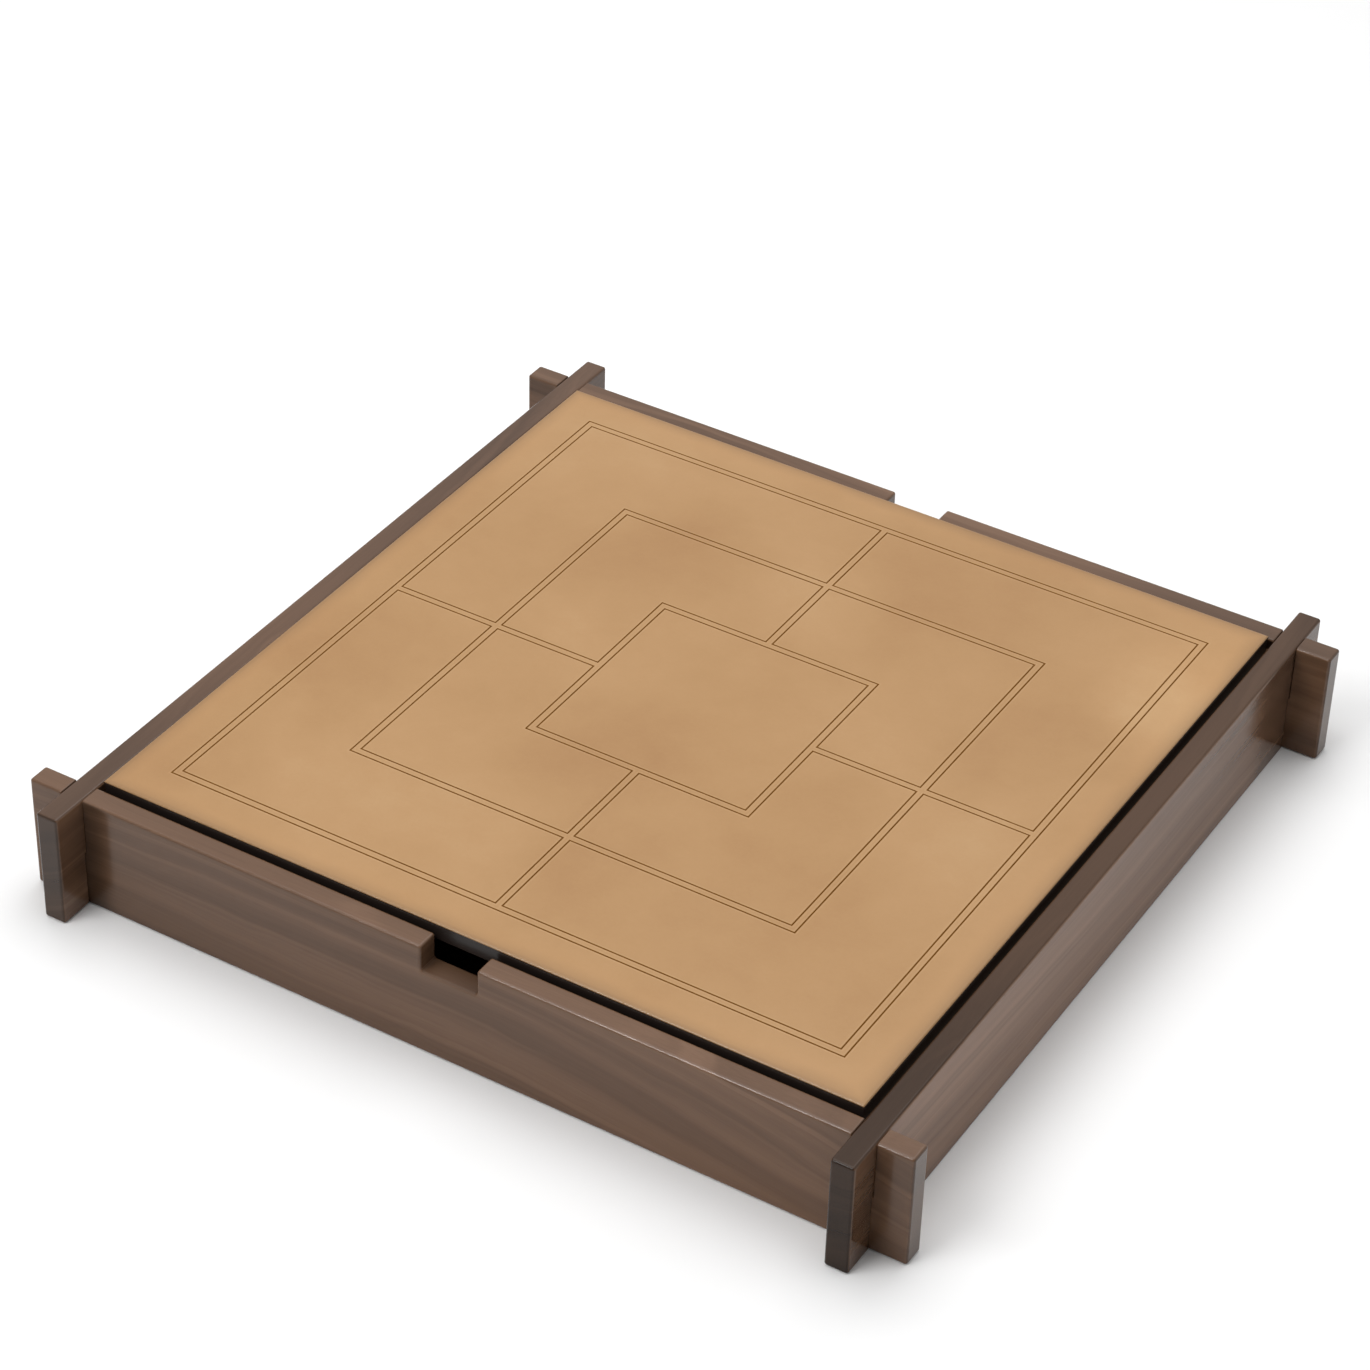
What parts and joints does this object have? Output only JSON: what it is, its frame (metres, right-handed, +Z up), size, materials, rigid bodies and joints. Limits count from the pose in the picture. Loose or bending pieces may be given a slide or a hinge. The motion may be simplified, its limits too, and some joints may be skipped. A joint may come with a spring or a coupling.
{
  "type": "game box",
  "caption": "Low square walnut game box with boards crossed at the corners and a lift-off leather lid tooled as a mill board, over racks of light and dark men.",
  "frame": {"origin": "middle of the underside, on the surface the box stands on", "axes": "+Z up, +X along the front board to the right, +Y from the front board to the back board"},
  "size_m": [0.471, 0.471, 0.065],
  "materials": {
    "walnut": "satin oiled, grain along each board",
    "walnut_inner": "satin oiled",
    "panel_board": "matt veneered plywood",
    "suede": "short nap suede",
    "dark_lipping": "dark stained, satin",
    "tan_leather": "satin, softly mottled, tooled lines",
    "light_wood": "satin turned maple",
    "dark_wood": "satin turned, dark stained"
  },
  "bodies": {
    "box": {"front_board": "walnut", "back_board": "walnut", "left_board": "walnut", "right_board": "walnut", "base_panel": "panel_board", "base_lining": "suede", "left_ledge": "walnut_inner", "right_ledge": "walnut_inner", "front_ledge_left": "walnut_inner", "front_ledge_right": "walnut_inner", "back_ledge_left": "walnut_inner", "back_ledge_right": "walnut_inner", "left_rack": "walnut", "right_rack": "walnut"},
    "lid": {"lid_core": "panel_board", "lid_underside": "suede", "lid_lipping_front": "dark_lipping", "lid_lipping_right": "dark_lipping", "lid_lipping_back": "dark_lipping", "lid_lipping_left": "dark_lipping", "lid_leather": "tan_leather"},
    "light_man_1": {"light_man_1": "light_wood"},
    "light_man_2": {"light_man_2": "light_wood"},
    "light_man_3": {"light_man_3": "light_wood"},
    "light_man_4": {"light_man_4": "light_wood"},
    "light_man_5": {"light_man_5": "light_wood"},
    "light_man_6": {"light_man_6": "light_wood"},
    "light_man_7": {"light_man_7": "light_wood"},
    "light_man_8": {"light_man_8": "light_wood"},
    "light_man_9": {"light_man_9": "light_wood"},
    "dark_man_1": {"dark_man_1": "dark_wood"},
    "dark_man_2": {"dark_man_2": "dark_wood"},
    "dark_man_3": {"dark_man_3": "dark_wood"},
    "dark_man_4": {"dark_man_4": "dark_wood"},
    "dark_man_5": {"dark_man_5": "dark_wood"},
    "dark_man_6": {"dark_man_6": "dark_wood"},
    "dark_man_7": {"dark_man_7": "dark_wood"},
    "dark_man_8": {"dark_man_8": "dark_wood"},
    "dark_man_9": {"dark_man_9": "dark_wood"}
  },
  "joints": [
    {"name": "lid_lift", "type": "slide", "parent": "box", "child": "lid", "axis": [0, 0, 1], "range_m": [0, 0.15]},
    {"name": "light_man_1_lift", "type": "slide", "parent": "box", "child": "light_man_1", "axis": [0, 0, 1], "range_m": [0, 0.03]},
    {"name": "light_man_2_lift", "type": "slide", "parent": "box", "child": "light_man_2", "axis": [0, 0, 1], "range_m": [0, 0.03]},
    {"name": "light_man_3_lift", "type": "slide", "parent": "box", "child": "light_man_3", "axis": [0, 0, 1], "range_m": [0, 0.03]},
    {"name": "light_man_4_lift", "type": "slide", "parent": "box", "child": "light_man_4", "axis": [0, 0, 1], "range_m": [0, 0.03]},
    {"name": "light_man_5_lift", "type": "slide", "parent": "box", "child": "light_man_5", "axis": [0, 0, 1], "range_m": [0, 0.03]},
    {"name": "light_man_6_lift", "type": "slide", "parent": "box", "child": "light_man_6", "axis": [0, 0, 1], "range_m": [0, 0.03]},
    {"name": "light_man_7_lift", "type": "slide", "parent": "box", "child": "light_man_7", "axis": [0, 0, 1], "range_m": [0, 0.03]},
    {"name": "light_man_8_lift", "type": "slide", "parent": "box", "child": "light_man_8", "axis": [0, 0, 1], "range_m": [0, 0.03]},
    {"name": "light_man_9_lift", "type": "slide", "parent": "box", "child": "light_man_9", "axis": [0, 0, 1], "range_m": [0, 0.03]},
    {"name": "dark_man_1_lift", "type": "slide", "parent": "box", "child": "dark_man_1", "axis": [0, 0, 1], "range_m": [0, 0.03]},
    {"name": "dark_man_2_lift", "type": "slide", "parent": "box", "child": "dark_man_2", "axis": [0, 0, 1], "range_m": [0, 0.03]},
    {"name": "dark_man_3_lift", "type": "slide", "parent": "box", "child": "dark_man_3", "axis": [0, 0, 1], "range_m": [0, 0.03]},
    {"name": "dark_man_4_lift", "type": "slide", "parent": "box", "child": "dark_man_4", "axis": [0, 0, 1], "range_m": [0, 0.03]},
    {"name": "dark_man_5_lift", "type": "slide", "parent": "box", "child": "dark_man_5", "axis": [0, 0, 1], "range_m": [0, 0.03]},
    {"name": "dark_man_6_lift", "type": "slide", "parent": "box", "child": "dark_man_6", "axis": [0, 0, 1], "range_m": [0, 0.03]},
    {"name": "dark_man_7_lift", "type": "slide", "parent": "box", "child": "dark_man_7", "axis": [0, 0, 1], "range_m": [0, 0.03]},
    {"name": "dark_man_8_lift", "type": "slide", "parent": "box", "child": "dark_man_8", "axis": [0, 0, 1], "range_m": [0, 0.03]},
    {"name": "dark_man_9_lift", "type": "slide", "parent": "box", "child": "dark_man_9", "axis": [0, 0, 1], "range_m": [0, 0.03]}
  ]
}
